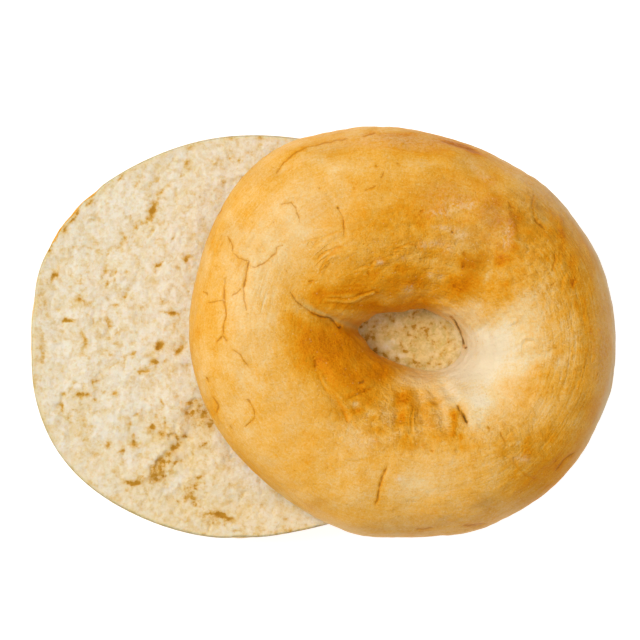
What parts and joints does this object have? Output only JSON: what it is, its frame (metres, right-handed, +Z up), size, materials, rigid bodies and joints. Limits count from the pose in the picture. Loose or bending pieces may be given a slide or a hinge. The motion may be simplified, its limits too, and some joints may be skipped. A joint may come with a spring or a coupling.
{
  "type": "sliced bagel",
  "caption": "Plain bagel cut level: the domed golden top half rests across the bottom half, whose pale crumb shows beside it and through its hole.",
  "frame": {"origin": "under the middle of the two halves' common box, on the surface they lie on", "axes": "+Z up, +X towards the side where the top half overhangs, +Y away from the front"},
  "size_m": [0.1518, 0.1066, 0.0396],
  "materials": {
    "crust": "baked bread crust, golden, satin",
    "crumb": "soft open bread crumb, cream, matte"
  },
  "bodies": {
    "root": {"bottom_half": "crumb", "top_half": "crust"}
  },
  "joints": []
}
